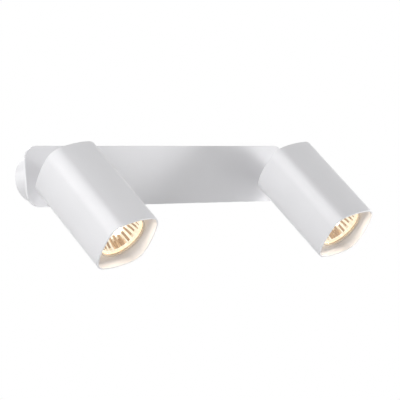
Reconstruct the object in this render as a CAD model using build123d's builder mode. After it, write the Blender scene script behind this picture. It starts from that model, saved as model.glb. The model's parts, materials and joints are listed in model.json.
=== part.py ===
"""Twin wall spotlight with two heads that swivel and tilt, in millimetres.

The wall is the plane y = 0 and the room lies on its -Y side. X runs along the plate and +Z is up.
The origin lies on the wall, midway between the four wall screws.
"""

import os
from math import atan2, cos, degrees, radians, sin, sqrt

from build123d import *

os.makedirs("parts", exist_ok=True)

# Fits and clearances
running_clearance = 0.06
thread_clearance = 0.05
seat_gap = 0.05
loose_clearance = 0.3
sheet_clearance = 0.15

# Front plate
plate_length = 338.0
plate_height = 59.0
plate_thickness = 2.0
plate_corner = 14.5
plate_edge = 0.4
end_margin = 27.5

# Stand-off cups between the wall and the plate
cup_radius = 24.0
cup_depth = 22.0
cup_wall = 2.0
cup_floor = 2.0
cup_edge = 0.4

# Wall discs inside the cups
disc_thickness = 2.0
disc_rim_height = 8.0
disc_rim_wall = 2.2
disc_lead_gap = 8.0
wall_slot_spacing = 26.0
wall_slot_width = 4.5
wall_slot_length = 9.0

# Grub screws that lock a cup on its disc
grub_radius = 2.0
grub_length = 3.8
grub_recess = 0.2
grub_socket = 2.0
grub_socket_depth = 1.6
grub_out = 5.0

# Weld studs on the back of the plate and their nuts
stud_radius = 2.0
stud_length = 6.0
stud_offset = 15.0
nut_width = 7.0
nut_height = 3.0

# Stem that carries a head: thread, collar, neck and eye
stem_radius = 5.0
stem_flat = 4.2
stem_bore = 2.8
stem_tail = 1.0
collar_radius = 6.5
collar_height = 3.0
collar_chamfer = 1.0
eye_radius = 6.5
eye_width = 12.0
eye_tip_depth = 2.7
pivot_reach = 27.4

# Washers and nut of the swivel
swivel_washer_radius = 6.5
swivel_washer_height = 0.8
spring_washer_radius = 7.5
spring_washer_height = 1.0
spring_washer_split = 1.2
stop_washer_radius = 8.0
stop_washer_height = 1.0
stop_lug_reach = 10.3
stop_lug_width = 1.6
stop_pin_radius = 0.6
stop_pin_circle = 9.6
swivel_nut_width = 14.0
swivel_nut_height = 3.0

# Rest pose of the heads: swivel from straight down towards +X, tilt from straight out
rest_swivel = 9.4
rest_tilt = 48.7

# Head shell, a tube whose section has bulged sides and rounded corners
head_half_width = 30.9
head_bulge_radius = 87.0
head_corner_radius = 16.0
head_wall = 1.6
head_length = 107.0
head_edge = 0.4
pivot_inset = 4.0
hinge_drop = 5.0
boss_radius = 4.0
boss_sink = 0.5
boss_length = 10.0
boss_bore = 1.25

# Back cap with the hinge ears
cap_recess = 0.6
cap_thickness = 2.5
ear_thickness = 4.0
ear_height = 16.0
ear_length = 9.9
slot_clearance = 1.0
cap_screw_radius = 1.45
cap_screw_head = 2.7
cap_screw_head_height = 1.8
cap_screw_length = 7.0
cap_screw_slot = 0.7

# Pivot screws and friction washers of the hinge
pivot_tip_radius = 2.0
pivot_thread_radius = 2.5
pivot_socket = 2.5
pivot_socket_depth = 2.0
friction_washer_radius = 6.0
friction_washer_height = 0.8

# Lamp
lamp_recess = 8.5
lamp_radius = 25.0
lamp_rim_height = 3.0
lamp_length = 46.5
lamp_glass = 1.6
bowl_glass = 1.9
bowl_fullness = 0.72
lens_thickness = 2.0
lens_recess = 0.3
neck_radius = 12.5
neck_height = 18.5
burner_radius = 4.5
burner_length = 29.0
burner_socket = 6.0
base_foot_radius = 11.0
base_land = 8.0
pin_spacing = 10.0
pin_radius = 1.5
pin_head_radius = 2.5
pin_length = 7.0
pin_head_height = 3.0
lamp_twist = 25.0

# Lampholder, its contacts and its bracket
holder_radius = 13.5
holder_length = 20.2
holder_lip = 3.4
holder_cavity = 8.2
contact_height = 1.2
bracket_sheet = 1.5
bracket_width = 26.0
bracket_span = 36.0
bracket_hole = 6.6
foot_length = 8.0
foot_level = 3.0
foot_boss_radius = 3.2
bracket_screw_radius = 1.45
bracket_screw_head = 2.7
bracket_screw_head_height = 1.8
bracket_screw_depth = 3.5
holder_screw_spacing = 20.0
holder_screw_depth = 6.0

# Leads
lead_radius = 1.05
lead_pitch = 2.4
lead_entry_depth = 3.5
head_lead_start = 8.0
feed_radius = 1.6
feed_run_out = 7.0
feed_bend = 4.5
feed_slope_start = 16.0
feed_slope_end = 51.0
feed_slope_bend = 40.0

# Wiring channel behind the plate, with its cover, grommet and terminals
channel_sheet = 1.2
channel_half_height = 18.2
cover_out = 2.0
cover_sheet = 1.2
pillar_x = 75.0
pillar_z = 10.0
pillar_radius = 3.0
cover_screw_radius = 1.45
cover_screw_head = 2.6
cover_screw_depth = 6.0
grommet_x = 45.0
grommet_z = 9.5
grommet_bore = 3.5
grommet_neck = 5.0
grommet_radius = 6.5
grommet_lip = 0.9
block_length = 18.0
block_width = 24.0
block_depth = 11.0
block_edge = 0.8
pole_pitch = 8.0
terminal_depth = 5.2
terminal_screw_radius = 1.6
terminal_screw_pitch = 10.0
terminal_screw_recess = 0.6
terminal_screw_slot = 0.5
earth_x = -30.0
earth_z = 9.0
earth_radius = 2.0
earth_head_radius = 3.6
earth_head_height = 2.4

# Heads, stems and cups stand in from the plate's ends, and the channel runs between them
head_spacing = plate_length - 2 * end_margin
channel_half_length = head_spacing / 2

# Levels outward from the wall
plate_back = cup_depth
plate_front = plate_back + plate_thickness
pivot_out = plate_front + pivot_reach
cup_floor_out = plate_back - cup_floor
spring_washer_out = cup_floor_out - spring_washer_height
stop_washer_out = spring_washer_out - stop_washer_height
swivel_nut_out = stop_washer_out - swivel_nut_height
stem_tail_out = swivel_nut_out - stem_tail
collar_out = plate_front + swivel_washer_height
web_out = plate_back - channel_sheet
channel_out = cover_out + cover_sheet
block_out = web_out - block_depth
terminal_out = block_out + terminal_depth

# Levels along a head's axis from its hinge, towards the mouth
head_mouth = head_length - pivot_inset
cap_back = cap_recess - pivot_inset
cap_front = cap_back + cap_thickness
lamp_front = head_mouth - lamp_recess
lamp_seat = lamp_front - lamp_length
neck_top = lamp_seat + neck_height
holder_front = lamp_seat - loose_clearance
holder_back = holder_front - holder_length
bracket_back = holder_back - bracket_sheet

# Widths across the hinge
eye_half = eye_width / 2
slot_half = eye_half + seat_gap + friction_washer_height
ear_outer = slot_half + ear_thickness
slot_top = eye_radius + slot_clearance
notch_half = slot_half + slot_clearance
foot_mid = (bracket_span + foot_length) / 2

# Where the side arcs and the corner arcs of the head's section meet
side_centre = head_bulge_radius - head_half_width
arc_reach = head_bulge_radius - head_corner_radius
corner_centre = (sqrt(2 * arc_reach**2 - side_centre**2) - side_centre) / 2
tangent_angle = degrees(atan2(corner_centre, corner_centre + side_centre))
corner_reach = corner_centre * sqrt(2) + head_corner_radius
boss_place = (corner_reach - head_wall - boss_radius + boss_sink) / sqrt(2)
boss_places = [(boss_place * i, boss_place * j) for i in (-1, 1) for j in (-1, 1)]

# Directions of a head at rest
swivel = radians(rest_swivel)
tilt = radians(rest_tilt)
hinge_axis = Vector(cos(swivel), 0, sin(swivel))
head_axis = Vector(sin(tilt) * sin(swivel), -cos(tilt), -sin(tilt) * cos(swivel))
head_top = head_axis.cross(hinge_axis)

sides = {"left": -head_spacing / 2, "right": head_spacing / 2}


def wall_plane(x, out=0.0):
    """Return the plane a distance out from the wall, with X to its right and Z up."""
    return Plane(origin=(x, -out, 0), x_dir=(1, 0, 0), z_dir=(0, -1, 0))


def stem_plane(x, out=0.0):
    """Return the plane a distance out from the wall, turned with the stem's hinge axis."""
    return Plane(origin=(x, -out, 0), x_dir=hinge_axis, z_dir=(0, -1, 0))


def head_point(x, across=0.0, up=0.0, along=0.0):
    """Return a point of a head, across and up from its axis and along it from the hinge."""
    pivot = Vector(x, -pivot_out, 0)
    return pivot + hinge_axis * across + head_top * (hinge_drop + up) + head_axis * along


def head_plane(x, along=0.0):
    """Return the plane square to a head's axis, a distance along it from the hinge."""
    return Plane(origin=head_point(x, along=along), x_dir=hinge_axis, z_dir=head_axis)


def hinge_plane(x, hand, across=0.0):
    """Return the plane square to the hinge axis, a distance to one hand of the eye's middle."""
    pivot = Vector(x, -pivot_out, 0)
    return Plane(origin=pivot + hinge_axis * hand * across, x_dir=head_axis, z_dir=hinge_axis * hand)


def profile_plane(x):
    """Return the plane through a head's axis, with x across the hinge and y along the axis."""
    return Plane(origin=head_point(x), x_dir=hinge_axis, z_dir=-head_top)


def lamp_axis(x):
    """Return a head's own axis."""
    return Axis(head_point(x), head_axis)


def section(plane, inset=0.0):
    """Return the head's section on a plane, drawn in by an inset all round."""
    with BuildSketch(plane) as outline:
        with BuildLine():
            for turn in range(0, 360, 90):
                side = radians(turn)
                corner = radians(turn + 45)
                corner_out = corner_centre * sqrt(2)
                CenterArc(
                    (-side_centre * cos(side), -side_centre * sin(side)),
                    head_bulge_radius - inset,
                    turn - tangent_angle,
                    2 * tangent_angle,
                )
                CenterArc(
                    (corner_out * cos(corner), corner_out * sin(corner)),
                    head_corner_radius - inset,
                    turn + tangent_angle,
                    90 - 2 * tangent_angle,
                )
        make_face()
    return outline.sketch


def keyed_stem(plane, grow=0.0):
    """Return the stem's round section with its flat, grown by a clearance."""
    with BuildSketch(plane) as key:
        Circle(stem_radius + grow)
        with Locations((0, stem_flat + grow)):
            Rectangle(
                4 * stem_radius, 2 * stem_radius, align=(Align.CENTER, Align.MIN), mode=Mode.SUBTRACT
            )
    return key.sketch


def save(part, name):
    """Label a finished piece and write it under its own name."""
    part.label = name
    export_step(part, f"parts/{name}.step")


def make_front_plate():
    """Flat plate with rounded corners that both stems pass through."""
    with BuildPart() as front_plate:
        with BuildSketch(wall_plane(0, plate_back)):
            RectangleRounded(plate_length, plate_height, plate_corner)
        extrude(amount=plate_thickness)
        fillet(front_plate.faces().sort_by(Axis.Y)[0].edges(), plate_edge)
        with BuildSketch(wall_plane(0, plate_back)):
            with GridLocations(head_spacing, 0, 2, 1):
                Circle(stem_radius + running_clearance)
        extrude(amount=plate_thickness, mode=Mode.SUBTRACT)
    save(front_plate.part, "front_plate")


def make_standoff_cup(side, x):
    """Round cup, open to the wall, that holds the plate off it and houses the swivel."""
    inward = 1 if x < 0 else -1
    lead_plane = Plane(origin=(x, -feed_run_out, 0), x_dir=(0, 1, 0), z_dir=(inward, 0, 0))
    grub_plane = Plane(origin=(x, -grub_out, 0), x_dir=(1, 0, 0), z_dir=(0, 0, 1))
    with BuildPart() as cup:
        with BuildSketch(wall_plane(x)):
            Circle(cup_radius)
        extrude(amount=cup_depth)
        fillet(cup.faces().sort_by(Axis.Y)[-1].edges(), cup_edge)
        with BuildSketch(wall_plane(x)):
            Circle(cup_radius - cup_wall)
        extrude(amount=cup_floor_out, mode=Mode.SUBTRACT)
        with BuildSketch(wall_plane(x, cup_floor_out)):
            Circle(stem_radius + running_clearance)
            with GridLocations(2 * stud_offset, 0, 2, 1):
                Circle(stud_radius + sheet_clearance)
        extrude(amount=cup_floor, mode=Mode.SUBTRACT)
        with BuildSketch(lead_plane):
            Circle(feed_radius + 2 * loose_clearance)
        extrude(amount=cup_radius, mode=Mode.SUBTRACT)
        with BuildSketch(grub_plane):
            Circle(grub_radius + thread_clearance)
        extrude(amount=cup_radius, both=True, mode=Mode.SUBTRACT)
        # Pin on the floor that ends the swivel's travel
        with BuildSketch(wall_plane(x, stop_washer_out)):
            with Locations((0, stop_pin_circle)):
                Circle(stop_pin_radius)
        extrude(amount=cup_floor_out - stop_washer_out)
    save(cup.part, f"{side}_standoff_cup")


def make_wall_disc(side, x):
    """Rimmed disc that is screwed to the wall and slides into the cup."""
    inward = 1 if x < 0 else -1
    disc_radius = cup_radius - cup_wall - sheet_clearance
    grub_plane = Plane(origin=(x, -grub_out, 0), x_dir=(1, 0, 0), z_dir=(0, 0, 1))
    with BuildPart() as disc:
        with BuildSketch(wall_plane(x)):
            Circle(disc_radius)
        extrude(amount=disc_rim_height)
        with BuildSketch(wall_plane(x, disc_thickness)):
            Circle(disc_radius - disc_rim_wall)
            with Locations((inward * disc_radius, 0)):
                Rectangle(2 * disc_rim_wall + disc_lead_gap, disc_lead_gap)
        extrude(amount=disc_rim_height, mode=Mode.SUBTRACT)
        with BuildSketch(wall_plane(x)):
            with GridLocations(0, wall_slot_spacing, 1, 2):
                SlotOverall(wall_slot_length, wall_slot_width)
        extrude(amount=disc_thickness, mode=Mode.SUBTRACT)
        with BuildSketch(grub_plane):
            Circle(grub_radius + thread_clearance)
        extrude(amount=cup_radius, both=True, mode=Mode.SUBTRACT)
    save(disc.part, f"{side}_wall_disc")


def make_grub_screws():
    """Set screws through the top and bottom of each cup into the disc's rim."""
    with BuildPart() as grubs:
        for x in sides.values():
            for hand in (-1, 1):
                outer = hand * (cup_radius - grub_recess)
                plane = Plane(origin=(x, -grub_out, outer), x_dir=(1, 0, 0), z_dir=(0, 0, -hand))
                with BuildSketch(plane):
                    Circle(grub_radius)
                extrude(amount=grub_length)
                with BuildSketch(plane):
                    RegularPolygon(grub_socket / 2, 6, major_radius=False)
                extrude(amount=grub_socket_depth, mode=Mode.SUBTRACT)
    save(grubs.part, "grub_screws")


def make_plate_studs():
    """Studs welded to the back of the plate."""
    with BuildPart() as studs:
        for x in sides.values():
            with BuildSketch(wall_plane(x, plate_back - stud_length)):
                with GridLocations(2 * stud_offset, 0, 2, 1):
                    Circle(stud_radius)
            extrude(amount=stud_length)
    save(studs.part, "plate_studs")


def make_stud_nuts():
    """Nuts that hold the cups against the plate."""
    with BuildPart() as nuts:
        for x in sides.values():
            with BuildSketch(wall_plane(x, cup_floor_out - nut_height)):
                with GridLocations(2 * stud_offset, 0, 2, 1):
                    RegularPolygon(nut_width / 2, 6, major_radius=False)
                    Circle(stud_radius + thread_clearance, mode=Mode.SUBTRACT)
            extrude(amount=nut_height)
    save(nuts.part, "stud_nuts")


def cope_ends():
    """Cut the current part back round both cups, so that it fits between them."""
    for x in sides.values():
        with BuildSketch(wall_plane(x)) as clear:
            Circle(cup_radius + loose_clearance)
        extrude(clear.sketch, amount=cup_depth, mode=Mode.SUBTRACT)


def make_wiring_channel():
    """Folded channel behind the plate, with a pillar for each cover screw."""
    depth = plate_back - channel_out
    inner_height = 2 * (channel_half_height - channel_sheet)
    with BuildPart() as channel:
        with BuildSketch(wall_plane(0, channel_out)):
            Rectangle(2 * channel_half_length, 2 * channel_half_height)
        extrude(amount=depth)
        with BuildSketch(wall_plane(0, channel_out)):
            Rectangle(2 * channel_half_length, inner_height)
        extrude(amount=depth - channel_sheet, mode=Mode.SUBTRACT)
        with BuildSketch(wall_plane(0, channel_out)):
            with Locations((-pillar_x, pillar_z), (pillar_x, pillar_z)):
                Circle(pillar_radius)
        extrude(amount=depth)
        with BuildSketch(wall_plane(0, channel_out)):
            with Locations((-pillar_x, pillar_z), (pillar_x, pillar_z)):
                Circle(cover_screw_radius + thread_clearance)
        extrude(amount=cover_screw_depth, mode=Mode.SUBTRACT)
        with BuildSketch(wall_plane(0, web_out)):
            with Locations((earth_x, earth_z)):
                Circle(earth_radius + thread_clearance)
        extrude(amount=channel_sheet, mode=Mode.SUBTRACT)
        cope_ends()
    save(channel.part, "wiring_channel")


def make_channel_cover():
    """Flat lid on the wall side of the channel, with the hole for the cable's grommet."""
    with BuildPart() as cover:
        with BuildSketch(wall_plane(0, cover_out)):
            Rectangle(2 * channel_half_length, 2 * channel_half_height)
            with Locations((grommet_x, grommet_z)):
                Circle(grommet_neck, mode=Mode.SUBTRACT)
        extrude(amount=cover_sheet)
        for x in (-pillar_x, pillar_x):
            with BuildSketch(wall_plane(0, cover_out)):
                with Locations((x, pillar_z)):
                    Circle(cover_screw_head + thread_clearance)
            with BuildSketch(wall_plane(0, channel_out)):
                with Locations((x, pillar_z)):
                    Circle(cover_screw_radius + thread_clearance)
            loft(mode=Mode.SUBTRACT)
        cope_ends()
    save(cover.part, "channel_cover")


def make_cover_screws():
    """Countersunk screws that hold the cover on the channel's pillars."""
    with BuildPart() as screws:
        for x in (-pillar_x, pillar_x):
            with BuildSketch(wall_plane(0, cover_out)):
                with Locations((x, pillar_z)):
                    Circle(cover_screw_head)
            with BuildSketch(wall_plane(0, channel_out)):
                with Locations((x, pillar_z)):
                    Circle(cover_screw_radius)
            loft()
            with BuildSketch(wall_plane(0, channel_out)):
                with Locations((x, pillar_z)):
                    Circle(cover_screw_radius)
            extrude(amount=cover_screw_depth - loose_clearance)
            with BuildSketch(wall_plane(0, cover_out)):
                with Locations((x, pillar_z)):
                    Rectangle(2 * cover_screw_head, cap_screw_slot)
            extrude(amount=cover_sheet / 2, mode=Mode.SUBTRACT)
    save(screws.part, "cover_screws")


def make_cable_grommet():
    """Rubber grommet in the cover, which the supply cable comes in through."""
    with BuildPart() as grommet:
        for out, radius, height in (
            (cover_out - grommet_lip, grommet_radius, grommet_lip),
            (cover_out, grommet_neck, cover_sheet),
            (channel_out, grommet_radius, grommet_lip),
        ):
            with BuildSketch(wall_plane(0, out)):
                with Locations((grommet_x, grommet_z)):
                    Circle(radius)
                    Circle(grommet_bore, mode=Mode.SUBTRACT)
            extrude(amount=height)
    save(grommet.part, "cable_grommet")


def make_terminal_block():
    """Three-pole terminal block that stands on the channel's web."""
    entry_plane = Plane(origin=(0, -terminal_out, 0), x_dir=(0, 0, 1), z_dir=(1, 0, 0))
    with BuildPart() as block:
        with BuildSketch(wall_plane(0, block_out)):
            RectangleRounded(block_length, block_width, block_edge)
        extrude(amount=block_depth)
        with BuildSketch(wall_plane(0, block_out)):
            with GridLocations(terminal_screw_pitch, pole_pitch, 2, 3):
                Circle(terminal_screw_radius + thread_clearance)
        extrude(amount=terminal_out - block_out, mode=Mode.SUBTRACT)
        with BuildSketch(entry_plane):
            with GridLocations(pole_pitch, 0, 3, 1):
                Circle(feed_radius + loose_clearance)
        extrude(amount=block_length, both=True, mode=Mode.SUBTRACT)
    save(block.part, "terminal_block")


def make_terminal_screws():
    """Slotted screws of the terminal block, two to a pole."""
    out = block_out + terminal_screw_recess
    length = terminal_out - feed_radius - loose_clearance - out
    with BuildPart() as screws:
        with BuildSketch(wall_plane(0, out)):
            with GridLocations(terminal_screw_pitch, pole_pitch, 2, 3):
                Circle(terminal_screw_radius)
        extrude(amount=length)
        with BuildSketch(wall_plane(0, out)):
            with GridLocations(terminal_screw_pitch, pole_pitch, 2, 3):
                Rectangle(2 * terminal_screw_radius, terminal_screw_slot)
        extrude(amount=terminal_screw_slot, mode=Mode.SUBTRACT)
    save(screws.part, "terminal_screws")


def make_earth_screw():
    """Earth screw in the web of the channel."""
    with BuildPart() as screw:
        with BuildSketch(wall_plane(0, web_out - earth_head_height)):
            with Locations((earth_x, earth_z)):
                Circle(earth_head_radius)
        extrude(amount=earth_head_height)
        with BuildSketch(wall_plane(0, web_out)):
            with Locations((earth_x, earth_z)):
                Circle(earth_radius)
        extrude(amount=channel_sheet)
        with BuildSketch(wall_plane(0, web_out - earth_head_height)):
            with Locations((earth_x, earth_z)):
                Rectangle(2 * earth_head_radius, cap_screw_slot)
        extrude(amount=earth_head_height / 2, mode=Mode.SUBTRACT)
    save(screw.part, "earth_screw")


def make_feed_lead(side, x):
    """Sleeved lead from the terminal block to the tail of a stem."""
    hand = -1 if x < 0 else 1
    block_end = hand * block_length / 2
    level = Plane(origin=(0, 0, 0), x_dir=(1, 0, 0), z_dir=(0, 0, -1))
    with BuildPart() as lead:
        with BuildLine(level) as route:
            FilletPolyline(
                (block_end - hand * lead_entry_depth, terminal_out),
                (block_end + hand * feed_slope_start, terminal_out),
                (block_end + hand * feed_slope_end, feed_run_out),
                (x, feed_run_out),
                (x, stem_tail_out - loose_clearance),
                radius=(feed_slope_bend, feed_slope_bend, feed_bend),
            )
        with BuildSketch(Plane(origin=route.line @ 0, z_dir=route.line % 0)):
            Circle(feed_radius)
        sweep(path=route.line)
    save(lead.part, f"{side}_feed_lead")


def make_stem(side, x):
    """Hollow stem: threaded tail through plate and cup, collar, neck and the hinge's eye."""
    with BuildPart() as stem:
        extrude(keyed_stem(stem_plane(x, stem_tail_out)), amount=cup_floor_out - stem_tail_out)
        with BuildSketch(stem_plane(x, cup_floor_out)):
            Circle(stem_radius)
        extrude(amount=pivot_out - cup_floor_out)
        with BuildSketch(stem_plane(x, collar_out)):
            Circle(collar_radius)
        extrude(amount=collar_height)
        collar_edges = stem.edges().filter_by(GeomType.CIRCLE).filter_by(
            lambda edge: abs(edge.radius - collar_radius) < seat_gap
        )
        chamfer(collar_edges.sort_by(Axis.Y)[0], collar_chamfer)
        with BuildSketch(hinge_plane(x, 1)):
            Circle(eye_radius)
        extrude(amount=eye_half, both=True)
        with BuildSketch(stem_plane(x, stem_tail_out)):
            Circle(stem_bore)
        extrude(amount=pivot_out + eye_radius - stem_tail_out, mode=Mode.SUBTRACT)
        for hand in (-1, 1):
            with BuildSketch(hinge_plane(x, hand, eye_half - eye_tip_depth)):
                Circle(pivot_tip_radius + running_clearance)
            extrude(amount=eye_tip_depth, mode=Mode.SUBTRACT)
    save(stem.part, f"{side}_stem")


def make_ring(name, plane, outer, inner, height):
    """Plain round washer."""
    with BuildPart() as ring:
        with BuildSketch(plane):
            Circle(outer)
            Circle(inner, mode=Mode.SUBTRACT)
        extrude(amount=height)
    save(ring.part, name)


def make_spring_washer(side, x):
    """Split spring washer that keeps the swivel stiff."""
    with BuildPart() as washer:
        with BuildSketch(stem_plane(x, spring_washer_out)):
            Circle(spring_washer_radius)
            Circle(stem_radius + sheet_clearance, mode=Mode.SUBTRACT)
            with Locations((spring_washer_radius, 0)):
                Rectangle(spring_washer_radius, spring_washer_split, mode=Mode.SUBTRACT)
        extrude(amount=spring_washer_height)
    save(washer.part, f"{side}_spring_washer")


def make_stop_washer(side, x):
    """Keyed washer whose lug meets the cup's pin at either end of the swivel's travel."""
    plane = stem_plane(x, stop_washer_out)
    with BuildPart() as washer:
        with BuildSketch(plane):
            Circle(stop_washer_radius)
            Rectangle(stop_lug_width, stop_lug_reach, align=(Align.CENTER, Align.MAX))
        extrude(amount=stop_washer_height)
        extrude(
            keyed_stem(plane, sheet_clearance), amount=stop_washer_height, mode=Mode.SUBTRACT
        )
    save(washer.part, f"{side}_stop_washer")


def make_swivel_nut(side, x):
    """Thin nut on the tail of the stem."""
    with BuildPart() as nut:
        with BuildSketch(stem_plane(x, swivel_nut_out)):
            RegularPolygon(swivel_nut_width / 2, 6, major_radius=False)
            Circle(stem_radius + thread_clearance, mode=Mode.SUBTRACT)
        extrude(amount=swivel_nut_height)
    save(nut.part, f"{side}_swivel_nut")


def make_stem_leads(side, x):
    """Two insulated wires through the bore of the stem."""
    with BuildPart() as leads:
        with BuildSketch(stem_plane(x, stem_tail_out)):
            with GridLocations(lead_pitch, 0, 2, 1):
                Circle(lead_radius)
        extrude(amount=pivot_out - pivot_tip_radius - stem_tail_out)
    save(leads.part, f"{side}_stem_leads")


def make_head_shell(side, x):
    """Tube of rounded-square section, open at the mouth, with a notch for the stem."""
    back = head_plane(x, -pivot_inset)
    with BuildPart() as shell:
        extrude(section(back), amount=head_length)
        fillet(shell.faces().filter_by(GeomType.PLANE).edges(), head_edge)
        extrude(section(back, head_wall), amount=head_length, mode=Mode.SUBTRACT)
        with BuildSketch(profile_plane(x)):
            Circle(notch_half)
            Rectangle(2 * notch_half, 2 * pivot_inset, align=(Align.CENTER, Align.MAX))
        extrude(amount=2 * head_half_width, mode=Mode.SUBTRACT)
        with BuildSketch(head_plane(x, cap_front)):
            with Locations(*boss_places):
                Circle(boss_radius)
                Circle(boss_bore, mode=Mode.SUBTRACT)
        extrude(amount=boss_length)
    save(shell.part, f"{side}_head_shell")


def make_back_cap(side, x):
    """Cap in the back of the shell, with a slot for the stem and the hinge's two ears."""
    with BuildPart() as cap:
        extrude(section(head_plane(x, cap_back), head_wall + sheet_clearance), amount=cap_thickness)
        with BuildSketch(head_plane(x, cap_back)):
            for hand in (-1, 1):
                with Locations((hand * (slot_half + ear_thickness / 2), -hinge_drop)):
                    Rectangle(ear_thickness, ear_height)
        extrude(amount=ear_length)
        with BuildSketch(head_plane(x, cap_back)):
            with GridLocations(2 * foot_mid, 0, 2, 1):
                Circle(foot_boss_radius)
        extrude(amount=foot_level - cap_back)
        with BuildSketch(head_plane(x, cap_back)):
            with Locations((0, slot_top - hinge_drop)):
                Rectangle(
                    2 * slot_half, slot_top + 2 * head_half_width, align=(Align.CENTER, Align.MAX)
                )
            with Locations(*boss_places):
                Circle(cap_screw_radius + sheet_clearance)
        extrude(amount=cap_thickness, mode=Mode.SUBTRACT)
        with BuildSketch(hinge_plane(x, 1)):
            Circle(pivot_thread_radius + thread_clearance)
        extrude(amount=ear_outer, both=True, mode=Mode.SUBTRACT)
        with BuildSketch(head_plane(x, foot_level - bracket_screw_depth)):
            with GridLocations(2 * foot_mid, 0, 2, 1):
                Circle(bracket_screw_radius + thread_clearance)
        extrude(amount=bracket_screw_depth, mode=Mode.SUBTRACT)
    save(cap.part, f"{side}_back_cap")


def make_cap_screws(side, x):
    """Pan head screws through the cap into the bosses of the shell."""
    head_back = cap_back - cap_screw_head_height
    with BuildPart() as screws:
        with BuildSketch(head_plane(x, head_back)):
            with Locations(*boss_places):
                Circle(cap_screw_head)
        extrude(amount=cap_screw_head_height)
        with BuildSketch(head_plane(x, cap_back)):
            with Locations(*boss_places):
                Circle(boss_bore - thread_clearance)
        extrude(amount=cap_screw_length)
        with BuildSketch(head_plane(x, head_back)):
            with Locations(*boss_places):
                Rectangle(2 * cap_screw_head, cap_screw_slot)
        extrude(amount=cap_screw_head_height / 2, mode=Mode.SUBTRACT)
    save(screws.part, f"{side}_cap_screws")


def make_pivot_screws(side, x):
    """Dog point set screws in the ears, whose tips turn in the eye of the stem."""
    with BuildPart() as screws:
        for hand in (-1, 1):
            with BuildSketch(hinge_plane(x, hand, eye_half - eye_tip_depth + seat_gap)):
                Circle(pivot_tip_radius)
            extrude(amount=eye_tip_depth + friction_washer_height)
            with BuildSketch(hinge_plane(x, hand, slot_half)):
                Circle(pivot_thread_radius)
            extrude(amount=ear_thickness)
            with BuildSketch(hinge_plane(x, hand, ear_outer - pivot_socket_depth)):
                RegularPolygon(pivot_socket / 2, 6, major_radius=False)
            extrude(amount=pivot_socket_depth, mode=Mode.SUBTRACT)
    save(screws.part, f"{side}_pivot_screws")


def make_friction_washers(side, x):
    """Friction washers between the eye and the ears."""
    with BuildPart() as washers:
        for hand in (-1, 1):
            with BuildSketch(hinge_plane(x, hand, eye_half + seat_gap)):
                Circle(friction_washer_radius)
                Circle(pivot_tip_radius + sheet_clearance, mode=Mode.SUBTRACT)
            extrude(amount=friction_washer_height)
    save(washers.part, f"{side}_friction_washers")


def pin_path(x, along):
    """Return the two arcs that the lamp's pins follow, on a plane along the head's axis."""
    plane = head_plane(x, along)
    radius = pin_spacing / 2
    return plane, [CenterArc((0, 0), radius, start, lamp_twist) for start in (0, 180)]


def make_lampholder(side, x):
    """Ceramic lampholder with keyhole slots that the lamp's pins lock under."""
    with BuildPart() as holder:
        with BuildSketch(head_plane(x, holder_back)):
            Circle(holder_radius)
        extrude(amount=holder_length)
        plane, arcs = pin_path(x, holder_front - holder_cavity)
        with BuildSketch(plane):
            for arc in arcs:
                SlotArc(arc, 2 * (pin_head_radius + loose_clearance))
        extrude(amount=holder_cavity - holder_lip, mode=Mode.SUBTRACT)
        plane, arcs = pin_path(x, holder_front - holder_lip)
        with BuildSketch(plane):
            for arc in arcs:
                SlotArc(arc, 2 * (pin_radius + loose_clearance))
            with PolarLocations(pin_spacing / 2, 2, start_angle=lamp_twist):
                Circle(pin_head_radius + loose_clearance)
        extrude(amount=holder_lip, mode=Mode.SUBTRACT)
        with BuildSketch(head_plane(x, holder_back)):
            with GridLocations(pin_spacing, 0, 2, 1):
                Circle(lead_radius + sheet_clearance)
        extrude(amount=lead_entry_depth + loose_clearance, mode=Mode.SUBTRACT)
        with BuildSketch(head_plane(x, holder_back)):
            with GridLocations(0, holder_screw_spacing, 1, 2):
                Circle(bracket_screw_radius + thread_clearance)
        extrude(amount=holder_screw_depth + loose_clearance, mode=Mode.SUBTRACT)
    save(holder.part, f"{side}_lampholder")


def make_holder_contacts(side, x):
    """Contact strips on the floor of the lampholder's slots."""
    with BuildPart() as contacts:
        plane, arcs = pin_path(x, holder_front - holder_cavity)
        with BuildSketch(plane):
            for arc in arcs:
                SlotArc(arc, 2 * pin_head_radius)
        extrude(amount=contact_height)
    save(contacts.part, f"{side}_holder_contacts")


def make_holder_bracket(side, x):
    """Folded steel strap that carries the lampholder on the back cap."""
    leg = (bracket_span - bracket_sheet) / 2
    with BuildPart() as bracket:
        with BuildSketch(head_plane(x, bracket_back)):
            Rectangle(bracket_span, bracket_width)
            Circle(bracket_hole, mode=Mode.SUBTRACT)
            with GridLocations(0, holder_screw_spacing, 1, 2):
                Circle(bracket_screw_radius + sheet_clearance, mode=Mode.SUBTRACT)
        extrude(amount=bracket_sheet)
        with BuildSketch(head_plane(x, foot_level)):
            with GridLocations(2 * leg, 0, 2, 1):
                Rectangle(bracket_sheet, bracket_width)
        extrude(amount=bracket_back - foot_level)
        with BuildSketch(head_plane(x, foot_level)):
            with GridLocations(2 * foot_mid, 0, 2, 1):
                Rectangle(foot_length, bracket_width)
                Circle(bracket_screw_radius + sheet_clearance, mode=Mode.SUBTRACT)
        extrude(amount=bracket_sheet)
    save(bracket.part, f"{side}_holder_bracket")


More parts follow.
